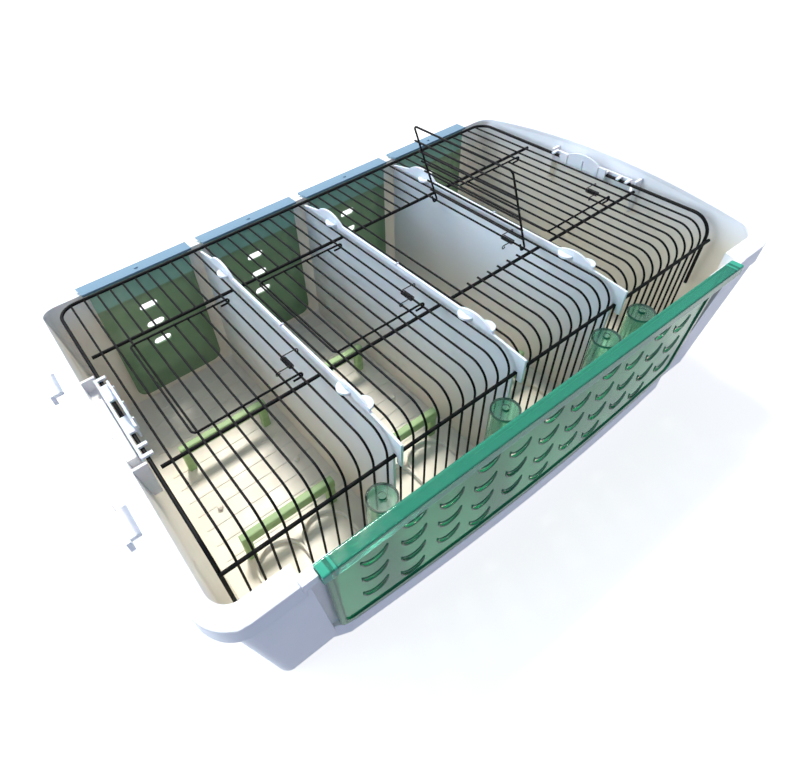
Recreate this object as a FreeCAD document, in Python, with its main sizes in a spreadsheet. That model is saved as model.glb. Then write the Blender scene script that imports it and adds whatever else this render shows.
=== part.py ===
import FreeCAD, Part
import math
import os

import Sketcher

# A travelling carrier for small cage birds: a plastic basin in four bays, a welded wire grille
# over the top and front, four spring doors in the grille, three lift-out dividers, four rear
# panels hung on the back rim, a swinging louvred front flap, four drinkers and eight perches.
# The frame has +Z up, X along the carrier and the louvred front towards -Y. The origin is on the
# ground, in the middle of the carrier.

doc = FreeCAD.newDocument("carrier")
sheet = doc.addObject("Spreadsheet::Sheet", "Sizes")

# Driving sizes in millimetres, counts and degrees. Depths are measured forwards from the axis of
# the grille's back wire, and drops are measured down from the axis of its long wires. A gap lies
# in front of the grille's front bars and a back behind them.
SIZES = [
    # grille
    ("wire_pitch", 12.0),
    ("bays", 4),
    ("bay_gap_count", 10),
    ("end_gap_count", 11.5),
    ("wire_dia", 1.8),
    ("frame_dia", 3.0),
    ("grille_height", 150.0),
    ("grille_depth", 289.0),
    ("bend_radius", 19.0),
    ("frame_corner", 16.0),
    ("rear_cross_at", 74.7),
    ("front_cross_at", 209.6),
    ("bend_cross_drop", 20.5),
    ("end_leg_drop", 70.0),
    ("weld_stub", 2.0),
    ("cross_end_gap", 4.0),
    # doors
    ("door_gap_count", 7),
    ("hinge_gap_count", 1.5),
    ("door_overhang", 3.6),
    ("door_rear_at", 88.0),
    ("door_front_at", 202.5),
    ("door_corner", 4.0),
    ("hinge_play", 0.3),
    ("hook_tail", 6.0),
    ("door_stub", 3.0),
    ("open_angle", 69.0),
    # door springs
    ("spring_wire", 0.9),
    ("spring_radius", 1.9),
    ("spring_turns", 9),
    ("spring_pitch", 1.4),
    ("spring_front_at", 191.0),
    ("spring_hook_radius", 1.9),
    ("spring_tail", 1.6),
    # tub
    ("wall", 2.5),
    ("floor_thick", 4.0),
    ("end_gap", 12.5),
    ("back_gap", 8.0),
    ("end_draft", 17.5),
    ("back_draft", 2.0),
    ("front_draft", 9.0),
    ("front_wall_gap", 39.0),
    ("tub_corner", 10.0),
    # rim
    ("rim_end", 25.0),
    ("rim_front_gap", 46.0),
    ("rim_back", 16.5),
    ("rim_corner", 26.0),
    ("rim_inner_gap", 31.5),
    ("rim_inner_corner", 14.0),
    ("rim_thick", 3.0),
    ("skirt_depth", 16.0),
    ("skirt_wall", 2.5),
    ("arch_rise", 14.0),
    ("arch_crest_shift", 11.25),
    ("arch_radius", 912.0),
    # front window and its bulged sill wall
    ("window_length", 429.0),
    ("jamb_width", 16.5),
    ("jamb_drop", 1.5),
    ("pillar_gap", 8.5),
    ("cheek_draft", 13.4),
    ("cheek_lean", 17.0),
    ("sill_height", 21.0),
    ("bulge_gap", 45.0),
    ("bulge_radius", 3100.0),
    ("bulge_draft", 1.0),
    ("sill_reach", 85.5),
    ("sill_round", 150.0),
    # rear ports
    ("port_width", 78.0),
    ("port_bottom", 32.0),
    ("port_drop", 26.0),
    ("port_corner", 10.0),
    # end brackets
    ("bracket_rear_at", 105.0),
    ("bracket_front_at", 204.0),
    ("bracket_plate", 2.5),
    ("bracket_reach", 2.2),
    ("bracket_top", 4.0),
    ("ledge_drop", 7.0),
    ("pad_rear_at", 125.0),
    ("pad_front_at", 193.0),
    ("pad_play", 0.4),
    ("bracket_depth", 22.0),
    # end lugs
    ("lug_spread", 152.0),
    ("lug_mid_at", 157.0),
    ("lug_stem", 25.0),
    ("lug_bar", 35.0),
    ("lug_reach", 11.0),
    ("lug_thick", 3.0),
    ("lug_bar_thick", 3.0),
    ("lug_stem_drop", 4.0),
    ("lug_bar_height", 9.0),
    # flap hinge
    ("ear_depth", 6.5),
    ("ear_height", 8.0),
    ("pivot_gap", 44.5),
    ("pivot_drop", 6.5),
    ("pivot_dia", 4.0),
    ("pivot_play", 0.05),
    ("pivot_length", 6.0),
    # front flap
    ("roll_depth", 11.0),
    ("roll_height", 10.0),
    ("roll_round", 1.5),
    ("roll_gap", 41.0),
    ("flap_play", 0.6),
    ("flap_wall", 2.2),
    ("flap_bead", 3.4),
    ("flap_bead_width", 5.0),
    ("flap_corner", 10.0),
    ("face_gap", 43.0),
    ("face_inset", 4.4),
    ("face_taper", 6.0),
    ("sill_play", 1.0),
    # louvres
    ("louvre_columns", 11),
    ("louvre_rows", 3),
    ("louvre_pitch", 34.2),
    ("louvre_row_pitch", 25.2),
    ("louvre_radius", 11.0),
    ("louvre_inner_radius", 12.4),
    ("louvre_inner_lift", 7.6),
    ("louvre_drop", 44.0),
    # rear panels
    ("panel_width", 98.0),
    ("panel_wall", 2.2),
    ("panel_foot", 12.0),
    ("panel_corner", 11.0),
    ("panel_back", 3.2),
    ("lip_length", 107.0),
    ("lip_back", 17.0),
    ("lip_rest", 0.35),
    ("lip_wall", 2.2),
    ("lip_flare", 2.0),
    ("lip_mark", 4.4),
    ("lip_mark_depth", 1.0),
    ("lip_mark_back", 2.3),
    # vents in the rear panels
    ("slot_width", 18.0),
    ("slot_height", 7.5),
    ("slot_first_drop", 35.5),
    ("slot_shift", 3.7),
    ("slot_pitch", 22.0),
    ("slots", 3),
    # dividers
    ("divider_wall", 2.0),
    ("divider_rear_at", 2.4),
    ("divider_top", 4.2),
    ("divider_play", 0.3),
    ("rear_ear_at", 27.3),
    ("rear_ear_length", 41.5),
    ("rear_ear_rise", 7.3),
    ("front_ear_back", 61.2),
    ("front_ear_length", 36.7),
    ("front_ear_rise", 6.0),
    ("rail_front_drop", 3.9),
    ("nose_reach", 9.0),
    ("nose_top_drop", 3.0),
    ("nose_drop", 27.0),
    ("divider_front_play", 0.6),
    ("wing_reach", 7.4),
    ("wing_lead", 8.0),
    ("wing_stagger", 20.5),
    ("rear_wing_lead", 26.0),
    ("wing_wall", 2.0),
    ("pin_at", 150.0),
    ("pin_size", 4.0),
    # drinkers
    ("tube_dia", 23.5),
    ("tube_wall", 1.5),
    ("tube_top_drop", 33.5),
    ("nub_dia", 6.0),
    ("nub_height", 2.5),
    ("cup_wall", 1.8),
    ("cup_height", 30.0),
    ("cup_play", 0.2),
    ("cup_step", 16.0),
    ("cup_floor", 2.0),
    ("tube_gap", 0.5),
    ("drinker_lift", 0.3),
    ("spout_width", 8.0),
    ("spout_reach", 14.0),
    ("spout_height", 13.0),
    ("spout_wall", 1.4),
    ("spout_lift", 9.0),
    # perches and their studs
    ("perch_length", 92.0),
    ("perch_depth", 7.5),
    ("perch_thick", 10.0),
    ("perch_top", 37.0),
    ("perch_round", 1.5),
    ("perch_leg", 8.0),
    ("perch_shift", 3.5),
    ("rear_perch_at", 108.2),
    ("front_perch_back", 65.0),
    ("stud_dia", 5.0),
    ("stud_height", 4.0),
    ("stud_play", 0.1),
    ("spare_stud_at", 166.0),
    # seed trays
    ("tray_radius", 22.0),
    ("tray_wall", 2.0),
    ("tray_height", 5.0),
    ("tray_pitch", 46.0),
    ("tray_back", 39.0),
    ("tray_shift", 6.0),
    ("tray_end_back", 5.0),
    # grille clips
    ("clip_rear_at", 108.0),
    ("clip_front_at", 200.5),
    ("clip_wall", 2.2),
    ("clip_outer", 4.4),
    ("clip_inner", 3.0),
    ("clip_plate", 1.8),
    ("clip_play", 0.3),
    ("clip_bridge", 1.8),
    ("clip_finger", 3.0),
    ("clip_shoulder", 7.7),
    ("clip_crest", 13.3),
    ("clip_arch_width", 40.0),
    ("clip_plate_length", 56.0),
    ("clip_mid_at", 147.0),
    ("clip_plate_drop", 4.0),
    ("clip_rib", 1.4),
    ("clip_rib_pitch", 19.0),
    ("clip_finger_gap", 10.0),
    ("clip_bridge_length", 18.0),
]
for row, (alias, value) in enumerate(SIZES, start=1):
    sheet.set("A%d" % row, alias)
    sheet.set("B%d" % row, str(value))
    sheet.setAlias("B%d" % row, alias)
doc.recompute()


class Size:
    """A length that knows both its formula in the sheet and its present value."""

    def __init__(self, text, value):
        self.text = text
        self.value = value

    def __add__(self, other):
        other = as_size(other)
        return Size("(%s + %s)" % (self.text, other.text), self.value + other.value)

    def __sub__(self, other):
        other = as_size(other)
        return Size("(%s - %s)" % (self.text, other.text), self.value - other.value)

    def __mul__(self, other):
        other = as_size(other)
        return Size("(%s * %s)" % (self.text, other.text), self.value * other.value)

    def __truediv__(self, other):
        other = as_size(other)
        return Size("(%s / %s)" % (self.text, other.text), self.value / other.value)

    def __radd__(self, other):
        return as_size(other) + self

    def __rsub__(self, other):
        return as_size(other) - self

    def __rmul__(self, other):
        return as_size(other) * self

    def __neg__(self):
        return as_size(0) - self


def as_size(number):
    if isinstance(number, Size):
        return number
    return Size("(%s)" % repr(float(number)), float(number))


def root_of(square):
    return Size("sqrt(%s)" % square.text, math.sqrt(square.value))


def size(alias):
    return Size("Sizes.%s" % alias, float(sheet.get(alias)))


def count(alias):
    return int(round(float(sheet.get(alias))))


V = FreeCAD.Vector
ALONG_X = FreeCAD.Rotation(V(0, 1, 0), 90)
ALONG_Y = FreeCAD.Rotation(V(1, 0, 0), -90)
UPRIGHT = FreeCAD.Rotation()


def turned(first, second, third):
    """A rotation that sends the local X, Y and Z axes to the three given directions."""
    return FreeCAD.Rotation(V(*first), V(*second), V(*third), "ZXY")


def bind(thing, prop, value):
    thing.setExpression(prop, as_size(value).text)


def put(thing, at, turn=UPRIGHT):
    thing.Placement = FreeCAD.Placement(V(*[as_size(c).value for c in at]), turn)
    for axis, place in zip("xyz", at):
        bind(thing, "Placement.Base." + axis, place)
    return thing


serial = [0]


def fresh(kind):
    serial[0] += 1
    return doc.addObject(kind, "shape%d" % serial[0])


def rod(radius, length, at, turn=UPRIGHT):
    thing = fresh("Part::Cylinder")
    bind(thing, "Radius", radius)
    bind(thing, "Height", length)
    return put(thing, at, turn)


def block(length, width, height, at):
    thing = fresh("Part::Box")
    bind(thing, "Length", length)
    bind(thing, "Width", width)
    bind(thing, "Height", height)
    return put(thing, at)


def ring(major, minor, sweep, at, turn):
    thing = fresh("Part::Torus")
    bind(thing, "Radius1", major)
    bind(thing, "Radius2", minor)
    thing.Angle1 = -180
    thing.Angle2 = 180
    thing.Angle3 = sweep
    return put(thing, at, turn)


def cone(low, high, height, at):
    thing = fresh("Part::Cone")
    bind(thing, "Radius1", low)
    bind(thing, "Radius2", high)
    bind(thing, "Height", height)
    return put(thing, at)


def cut(base, tool):
    thing = fresh("Part::Cut")
    thing.Base = base
    thing.Tool = tool
    return thing


def fuse(things):
    thing = fresh("Part::MultiFuse")
    thing.Shapes = things
    thing.Refine = False
    return thing


def common(first, second):
    thing = fresh("Part::Common")
    thing.Base = first
    thing.Tool = second
    return thing


def bundle(things):
    thing = fresh("Part::Compound")
    thing.Links = things
    return thing


pieces = []


def piece(label, thing):
    thing.Label = label
    pieces.append(thing)
    return thing


def rounded_block(length, width, height, radius, at, along="z"):
    """A block whose four edges along one axis are rounded."""
    body = fresh("PartDesign::Body")
    base = body.newObject("PartDesign::AdditiveBox", body.Name + "_block")
    bind(base, "Length", length)
    bind(base, "Width", width)
    bind(base, "Height", height)
    doc.recompute()
    pick = "xyz".index(along)
    names = []
    for number, edge in enumerate(base.Shape.Edges, start=1):
        run = edge.Vertexes[1].Point - edge.Vertexes[0].Point
        if abs(run[pick]) > 0.5 * run.Length:
            names.append("Edge%d" % number)
    rounding = body.newObject("PartDesign::Fillet", body.Name + "_round")
    rounding.Base = (base, names)
    bind(rounding, "Radius", radius)
    body.Tip = rounding
    return put(body, at)


def rounded_wedge(low, high, height, radius, lift):
    """A drafted block with rounded uprights; low and high are (half length, back, front)."""
    body = fresh("PartDesign::Body")
    base = body.newObject("PartDesign::AdditiveWedge", body.Name + "_wedge")
    bind(base, "Ymin", lift)
    bind(base, "Ymax", lift + height)
    bind(base, "Xmin", -low[0])
    bind(base, "Xmax", low[0])
    bind(base, "Zmin", -low[1])
    bind(base, "Zmax", -low[2])
    bind(base, "X2min", -high[0])
    bind(base, "X2max", high[0])
    bind(base, "Z2min", -high[1])
    bind(base, "Z2max", -high[2])
    doc.recompute()
    names = []
    for number, edge in enumerate(base.Shape.Edges, start=1):
        run = edge.Vertexes[1].Point - edge.Vertexes[0].Point
        if abs(run.y) > 0.5 * run.Length:
            names.append("Edge%d" % number)
    rounding = body.newObject("PartDesign::Fillet", body.Name + "_round")
    rounding.Base = (base, names)
    bind(rounding, "Radius", radius)
    body.Tip = rounding
    body.Placement = FreeCAD.Placement(V(0, 0, 0), FreeCAD.Rotation(V(1, 0, 0), 90))
    return body


def plane_of(body, role):
    return [f for f in body.Origin.OriginFeatures if f.Role == role][0]


def outline(body, role, points, arcs=None, offset=None):
    """A closed sketch through points; arcs gives {segment: (radius, side)}, side +1 bends left."""
    arcs = arcs or {}
    sketch = body.newObject("Sketcher::SketchObject", body.Name + "_sketch")
    sketch.AttachmentSupport = (plane_of(body, role), [""])
    sketch.MapMode = "FlatFace"
    if offset is not None:
        bind(sketch, "AttachmentOffset.Base.z", offset)
    spots = [V(as_size(u).value, as_size(v).value, 0) for u, v in points]
    total = len(spots)
    starts = []
    ends = []
    for index in range(total):
        first = spots[index]
        last = spots[(index + 1) % total]
        if index not in arcs:
            sketch.addGeometry(Part.LineSegment(first, last), False)
            starts.append(1)
            ends.append(2)
            continue
        radius, side = arcs[index]
        reach = as_size(radius).value
        chord = last - first
        left = V(-chord.y, chord.x, 0) / chord.Length
        depth = math.sqrt(reach * reach - chord.Length ** 2 / 4)
        centre = first + chord * 0.5 + left * (depth * side)
        begin, finish = (first, last) if side > 0 else (last, first)
        low = math.atan2(begin.y - centre.y, begin.x - centre.x)
        high = math.atan2(finish.y - centre.y, finish.x - centre.x)
        if high < low:
            high += 2 * math.pi
        circle = Part.Circle(centre, V(0, 0, 1), reach)
        sketch.addGeometry(Part.ArcOfCircle(circle, low, high), False)
        starts.append(1 if side > 0 else 2)
        ends.append(2 if side > 0 else 1)
    for index in range(total):
        after = (index + 1) % total
        sketch.addConstraint(
            Sketcher.Constraint("Coincident", index, ends[index], after, starts[after]))
    for index, (u, v) in enumerate(points):
        for kind, place in (("DistanceX", as_size(u)), ("DistanceY", as_size(v))):
            number = sketch.addConstraint(
                Sketcher.Constraint(kind, -1, 1, index, starts[index], place.value))
            sketch.setExpression("Constraints[%d]" % number, place.text)
    for index, (radius, side) in arcs.items():
        number = sketch.addConstraint(
            Sketcher.Constraint("Radius", index, as_size(radius).value))
        sketch.setExpression("Constraints[%d]" % number, as_size(radius).text)
    return sketch


def padded(role, points, thick, at, arcs=None):
    """A plate drawn on one of the body's planes and padded by its thickness."""
    body = fresh("PartDesign::Body")
    sketch = outline(body, role, points, arcs)
    doc.recompute()
    pad = body.newObject("PartDesign::Pad", body.Name + "_pad")
    pad.Profile = sketch
    bind(pad, "Length", thick)
    body.Tip = pad
    return put(body, at)


# Places that the pieces share. Depth d forwards of the back wire lies at y = back_y - d, and a
# drop below the long wires' axes at z = top_z - drop.
pitch = size("wire_pitch")
wire = size("wire_dia") / 2
frame = size("frame_dia") / 2
top_z = size("grille_height")
gaps = size("end_gap_count") * 2 + size("bay_gap_count") * (size("bays") - 2)
half = pitch * gaps / 2
bar_depth = size("grille_depth")
bulge_depth = bar_depth + size("bulge_gap")
rim_front_depth = bar_depth + size("rim_front_gap")
front_depth = bar_depth + size("roll_gap") + size("roll_depth")
back_y = (front_depth - size("lip_back")) / 2
bar_y = back_y - bar_depth
bend = size("bend_radius")
wall = size("wall")
floor_z = size("floor_thick")
bays = count("bays")
last_wire = int(round(gaps.value))


def wire_x(index):
    return pitch * index - half


def deep(depth):
    return back_y - depth


def divider_index(bay):
    return size("end_gap_count") + size("bay_gap_count") * bay


def hinge_x(bay):
    return wire_x(divider_index(bay) - size("hinge_gap_count"))


def bay_x(bay):
    return hinge_x(bay) - pitch * size("door_gap_count") / 2


# Grille: frame wire, long wires, bends, front bars and cross wires, each rod touching the next.
frame_z = top_z - wire + frame
frame_front_y = bar_y - wire + frame
corner = size("frame_corner")
side_front_y = frame_front_y + bend
side_run = back_y - corner - side_front_y
frame_rods = [rod(frame, half * 2 - corner * 2, (-half + corner, back_y, frame_z), ALONG_X)]
for side in (-1, 1):
    corner_spot = (half * side - corner * side, back_y - corner, frame_z)
    frame_rods.append(ring(corner, frame, 90, corner_spot, turned((side, 0, 0), (0, 1, 0), (0, 0, side))))
    frame_rods.append(rod(frame, side_run, (half * side, side_front_y, frame_z), ALONG_Y))
    frame_rods.append(ring(bend, frame, 90, (half * side, side_front_y, frame_z - bend),
                           turned((0, 0, 1), (0, -1, 0), (1, 0, 0))))
    leg_foot = top_z - size("end_leg_drop")
    frame_rods.append(rod(frame, frame_z - bend - leg_foot, (half * side, frame_front_y, leg_foot)))
piece("grille_frame", bundle(frame_rods))

rear_stop = back_y - frame
front_stop = bar_y + bend


def rear_stop_at(index):
    """Where a long wire meets the frame wire, which curves in at its corners."""
    inset = corner - pitch * min(index, last_wire - index) + wire
    if inset.value <= 0:
        return rear_stop
    return back_y - corner + root_of((corner - frame) * (corner - frame) - inset * inset)


rear_cross_y = deep(size("rear_cross_at"))
front_cross_y = deep(size("front_cross_at"))
stub = frame + size("weld_stub")
door_cut = set()
for bay in range(bays):
    hinge_number = int(round((divider_index(bay) - size("hinge_gap_count")).value))
    door_cut.update(range(hinge_number - count("door_gap_count") + 1, hinge_number))
long_rods = []
bends = []
bars = []
for index in range(1, last_wire):
    x = wire_x(index)
    if index in door_cut:
        rear_end = rear_cross_y - stub
        front_end = front_cross_y + stub
        long_rods.append(rod(wire, rear_stop_at(index) - rear_end, (x, rear_end, top_z), ALONG_Y))
        long_rods.append(rod(wire, front_end - front_stop, (x, front_stop, top_z), ALONG_Y))
    else:
        long_rods.append(rod(wire, rear_stop_at(index) - front_stop, (x, front_stop, top_z), ALONG_Y))
    bends.append(ring(bend, wire, 90, (x, front_stop, top_z - bend),
                      turned((0, 0, 1), (0, -1, 0), (1, 0, 0))))
    bars.append(rod(wire, top_z - bend - floor_z, (x, bar_y, floor_z)))
piece("grille_long_wires", bundle(long_rods))
piece("grille_bends", bundle(bends))
piece("grille_front_bars", bundle(bars))

cross_z = top_z - wire - frame
cross_rods = []
for bay in range(bays):
    near = -half + size("cross_end_gap")
    if bay > 0:
        near = wire_x(divider_index(bay - 1) + 0.5) - frame
    far = half - size("cross_end_gap")
    if bay < bays - 1:
        far = wire_x(divider_index(bay) - 0.5) + frame
    for y in (rear_cross_y, front_cross_y):
        cross_rods.append(rod(frame, far - near, (near, y, cross_z), ALONG_X))
bend_cross_y = bar_y - wire - frame
bend_cross_z = top_z - size("bend_cross_drop")
bend_cross_run = half * 2 + frame * 2
cross_rods.append(rod(frame, bend_cross_run, (-half - frame, bend_cross_y, bend_cross_z), ALONG_X))
piece("grille_cross_wires", bundle(cross_rods))

# Doors: a bent edge wire whose ends hook round the hinge wire, and cross bars welded under it.
# Each door is drawn closed about its hinge axis; the third one stands open.
hook = wire * 2 + size("hinge_play")
door_corner = size("door_corner")
door_y = (deep(size("door_rear_at")) + deep(size("door_front_at"))) / 2
door_half = (size("door_front_at") - size("door_rear_at")) / 2
door_reach = pitch * size("door_gap_count") + size("door_overhang")
for bay in range(bays):
    edge_run = door_half * 2 - door_corner * 2
    rods = [rod(wire, edge_run, (-door_reach, -door_half + door_corner, hook), ALONG_Y)]
    tail = size("hook_tail")
    for side in (-1, 1):
        y = door_half * side
        turn_x = -door_reach + door_corner
        rods.append(ring(door_corner, wire, 90, (turn_x, y - door_corner * side, hook),
                         turned((-1, 0, 0), (0, side, 0), (0, 0, -side))))
        rods.append(rod(wire, door_reach - door_corner, (turn_x, y, hook), ALONG_X))
        rods.append(ring(hook, wire, 180, (0, y, 0), turned((0, 0, 1), (1, 0, 0), (0, 1, 0))))
        rods.append(rod(wire, tail, (-tail, y, -hook), ALONG_X))
    bar_half = door_half + size("door_stub")
    for index in range(1, count("door_gap_count")):
        rods.append(rod(wire, bar_half * 2, (-pitch * index, -bar_half, hook - wire * 2), ALONG_Y))
    door = bundle(rods)
    swing = FreeCAD.Rotation(V(0, 1, 0), size("open_angle").value)
    put(door, (hinge_x(bay), door_y, top_z), swing if bay == 2 else UPRIGHT)
    if bay == 2:
        bind(door, "Placement.Rotation.Angle", size("open_angle"))
    piece("door_%d" % (bay + 1), door)


# Door springs: a coil round the hinge wire, one leg over the next grille wire, one on the door.
def biarc(start, along, end, onward):
    """Two tangent arcs from start to end, as the middle points and joint of the pair."""
    chord = end - start
    both = along + onward
    spread = 2 * (1 - along.dot(onward))
    lead = chord.dot(both)
    reach = (-lead + math.sqrt(lead * lead + spread * chord.dot(chord))) / spread
    near = start + along * reach
    far = end - onward * reach
    joint = (near + far) * 0.5
    return near, joint, far


def arc_edge(start, handle, end):
    """The arc from start to end whose end tangents meet at the handle."""
    lead = handle - start
    chord = end - start
    weight = lead.dot(chord) / (lead.Length * chord.Length)
    middle = (start + handle * (2 * weight) + end) / (2 + 2 * weight)
    return Part.Arc(start, middle, end).toShape()


def spring_shape():
    thick = size("spring_wire").value
    radius = size("spring_radius").value
    rise = size("spring_pitch").value
    turns = count("spring_turns")
    clasp = size("spring_hook_radius").value
    tail = size("spring_tail").value
    gap = pitch.value
    door_bar = (hook - wire * 2).value
    length = rise * turns
    stops = []
    for step in range(turns * 4 + 1):
        angle = math.pi / 2 + step * math.pi / 2
        spot = V(radius * math.cos(angle), -length * step / (turns * 4), radius * math.sin(angle))
        way = V(-radius * math.sin(angle), -rise / (2 * math.pi), radius * math.cos(angle))
        way.normalize()
        if step in (0, turns * 4):
            way = V(-1, 0, 0)
        stops.append((spot, way))
    edges = []
    samples = []
    top = V(gap, 0, radius)
    corner_out = V(gap + clasp, 0, radius)
    down = V(gap + clasp, 0, radius - clasp)
    start = down - V(0, 0, tail)
    edges.append(Part.LineSegment(start, down).toShape())
    edges.append(arc_edge(down, corner_out, top))
    edges.append(Part.LineSegment(top, stops[0][0]).toShape())
    for (spot, way), (after, onward) in zip(stops, stops[1:]):
        near, joint, far = biarc(spot, way, after, onward)
        edges.append(arc_edge(spot, near, joint))
        edges.append(arc_edge(joint, far, after))
    loop = radius - door_bar
    last = stops[-1][0]
    over = V(-gap, last.y, radius)
    left = V(-gap - loop, last.y, door_bar)
    low = V(-gap, last.y, door_bar - loop)
    right = V(-gap + loop, last.y, door_bar)
    edges.append(Part.LineSegment(last, over).toShape())
    edges.append(arc_edge(over, V(-gap - loop, last.y, radius), left))
    edges.append(arc_edge(left, V(-gap - loop, last.y, door_bar - loop), low))
    edges.append(arc_edge(low, V(-gap + loop, last.y, door_bar - loop), right))
    path = Part.Wire(edges)
    for edge in edges:
        samples.extend(edge.discretize(12)[:-1])
    profile = Part.Wire([Part.Circle(start, V(0, 0, 1), thick / 2).toShape()])
    pipe = Part.BRepOffsetAPI.MakePipeShell(path)
    pipe.add(profile)
    pipe.build()
    pipe.makeSolid()
    shape = pipe.shape()
    run = 0.0
    reached = [0.0]
    for first, after in zip(samples, samples[1:]):
        run += (after - first).Length
        reached.append(run)
    least = min((samples[i] - samples[j]).Length - thick
                for i in range(len(samples)) for j in range(i + 1, len(samples))
                if reached[j] - reached[i] > 3.0 * thick)
    full = math.pi * thick * thick / 4 * path.Length
    print("spring: %d turns, least gap to itself %.2f mm, volume %.4f of section times length"
          % (turns, least, shape.Volume / full))
    return shape


spring_solid = spring_shape()
for bay in range(bays):
    spring = fresh("Part::Feature")
    spring.Shape = spring_solid.copy()
    spring_back = deep(size("spring_front_at")) + size("spring_pitch") * size("spring_turns")
    put(spring, (hinge_x(bay), spring_back, top_z))
    piece("door_spring_%d" % (bay + 1), spring)

# Basin: a drafted tub with rounded uprights, trimmed along an arch, with a turned-down rim.
crown = top_z + size("arch_rise") + size("rim_thick")


def tub_at(z, inset):
    """Half length, back and front of the tub's wall at one height, moved in by inset."""
    low = 1 - as_size(z) / top_z
    length = half + size("end_gap") + wall - size("end_draft") * low - inset
    back = back_y + size("back_gap") + wall - size("back_draft") * low - inset
    front = bar_y - size("front_wall_gap") + size("front_draft") * low + inset
    return length, back, front


outer = rounded_wedge(tub_at(0, 0), tub_at(crown, 0), crown, size("tub_corner"), as_size(0))
inner = rounded_wedge(tub_at(floor_z, wall), tub_at(crown, wall), crown - floor_z,
                      size("tub_corner") - wall, floor_z)
window = size("window_length") / 2
bulge_y = deep(bulge_depth) + size("bulge_radius")
bulge_low = size("bulge_radius") - size("bulge_draft")
sill = size("sill_height")
platform_y = bar_y - size("rim_inner_gap")
gallery_y = tub_at(floor_z, wall)[2] + wall
opening = window - size("jamb_width")
bulge_half = window + size("sill_reach")
pillar_start = window + size("pillar_gap")
bulge_front = deep(bulge_depth) - wall
bulge_run = gallery_y - bulge_front
bulge_block = rounded_block(bulge_half * 2, size("sill_round") * 3, sill, size("sill_round"),
                            (-bulge_half, deep(bulge_depth), 0))
bulge = common(common(cone(bulge_low, size("bulge_radius"), sill, (0, bulge_y, 0)), bulge_block),
               block(pillar_start * 2, bulge_run, sill, (-pillar_start, bulge_front, 0)))
hollow = common(cone(bulge_low - wall, size("bulge_radius") - wall, sill, (0, bulge_y, 0)),
                block(opening * 2, bulge_run, sill - floor_z, (-opening, bulge_front, floor_z)))
length_top, back_top, front_top = tub_at(crown, 0)
rim_front_y = deep(rim_front_depth)


def cheek_at(z):
    """Half length, back and front at one height of the cheeks, which run up to the rim's edge."""
    length, back, front = tub_at(z, 0)
    return length, back, rim_front_y + size("cheek_draft") * (1 - as_size(z) / top_z)


# Cheeks stand out in front of the corner pillars, on both sides of the window.
cheek_front = rim_front_y - size("cheek_draft")
cheek_run = gallery_y - cheek_front
cheek_low = pillar_start - size("cheek_lean")
cheek_gap = padded("XZ_Plane", [(-cheek_low, 0), (cheek_low, 0), (pillar_start, crown), (-pillar_start, crown)],
                   cheek_run + wall, (0, gallery_y + wall, 0))
cheek_block = block(length_top * 2, cheek_run, crown, (-length_top, cheek_front, 0))
cheek_wedge = rounded_wedge(cheek_at(0), cheek_at(crown), crown, size("tub_corner"), as_size(0))
cheeks = cut(common(cheek_wedge, cheek_block), cheek_gap)
pillars = []
for side in (-1, 1):
    pillar_x = pillar_start if side > 0 else -length_top
    pillar = block(length_top - pillar_start, platform_y - front_top, crown, (pillar_x, front_top, 0))
    pillars.append(common(outer, pillar))
tub = fuse([cut(fuse([outer, bulge, cheeks]), inner)] + pillars)
tub = cut(tub, hollow)
# The front wall stays as a jamb beside the opening, up to the flap's roll.
jamb_top = top_z - size("roll_height") - size("jamb_drop")
tub = cut(tub, block(opening * 2, bulge_run, jamb_top - sill, (-opening, bulge_front, sill)))
tub = cut(tub, block(pillar_start * 2, bulge_run, crown, (-pillar_start, bulge_front, jamb_top)))
arch = size("arch_radius")
arch_y = deep((rim_front_depth - size("rim_back")) / 2 - size("arch_crest_shift"))
arch_z = top_z + size("arch_rise") - arch
span = half * 2 + size("rim_end") * 4


def arched(depth):
    return cut(rod(arch, span, (-span / 2, arch_y, arch_z), ALONG_X),
               rod(arch - depth, span, (-span / 2, arch_y, arch_z), ALONG_X))


tub = common(tub, rod(arch, span, (-span / 2, arch_y, arch_z), ALONG_X))
rim_half = half + size("rim_end")
rim_back_y = back_y + size("rim_back")
rim_low = top_z - size("arch_rise") * 4
rim_tall = crown - rim_low
skirt = size("skirt_wall")
rim_outer = rounded_block(rim_half * 2, rim_back_y - rim_front_y, rim_tall, size("rim_corner"),
                          (-rim_half, rim_front_y, rim_low))
hole_half = half + size("end_gap")
hole_back = back_y + size("back_gap")
rim_hole = rounded_block(hole_half * 2, hole_back - platform_y, rim_tall, size("rim_inner_corner"),
                         (-hole_half, platform_y, rim_low))
skirt_run = rim_back_y - rim_front_y - skirt * 2
skirt_hole = rounded_block(rim_half * 2 - skirt * 2, skirt_run, rim_tall, size("rim_corner") - skirt,
                           (-rim_half + skirt, rim_front_y + skirt, rim_low))
flange = common(cut(rim_outer, rim_hole), arched(size("rim_thick")))
apron = common(cut(rim_outer, skirt_hole), arched(size("skirt_depth")))
front_gap = block(pillar_start * 2, platform_y - rim_front_y + wall * 2, rim_tall + crown,
                  (-pillar_start, rim_front_y - wall, sill))
rim = cut(fuse([flange, apron]), front_gap)

fittings = []
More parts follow.
